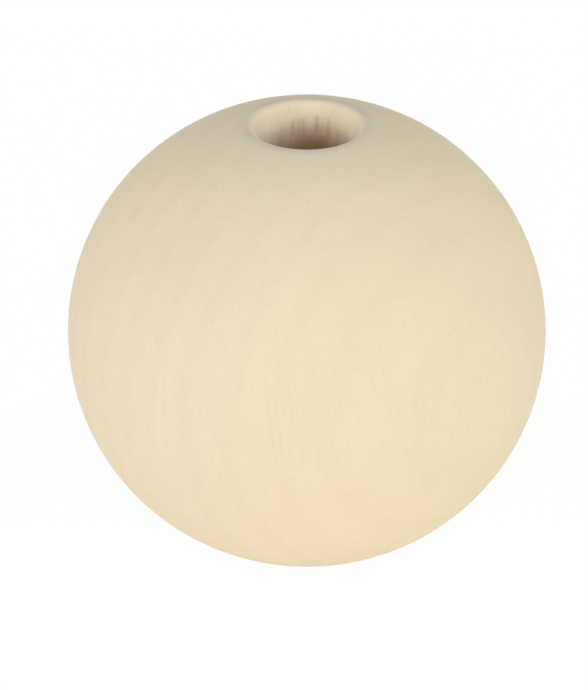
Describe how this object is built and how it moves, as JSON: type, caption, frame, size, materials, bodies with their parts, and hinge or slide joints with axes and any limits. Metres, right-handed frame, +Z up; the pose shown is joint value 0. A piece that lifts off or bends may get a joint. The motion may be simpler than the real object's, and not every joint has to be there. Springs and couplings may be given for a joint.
{
  "type": "wooden bead",
  "caption": "Turned wooden ball bead, slightly shorter than wide, with a straight bore and flared mouths; strings on a cord or slides on a dowel.",
  "frame": {"origin": "centre of the ball, halfway along the bore", "axes": "+Z up along the bore; the bead is the same all round it and the same upside down"},
  "size_m": [0.02, 0.02, 0.019],
  "materials": {
    "wood": "raw, sanded smooth, pale and close-grained"
  },
  "bodies": {
    "root": {"bead": "wood"}
  },
  "joints": []
}
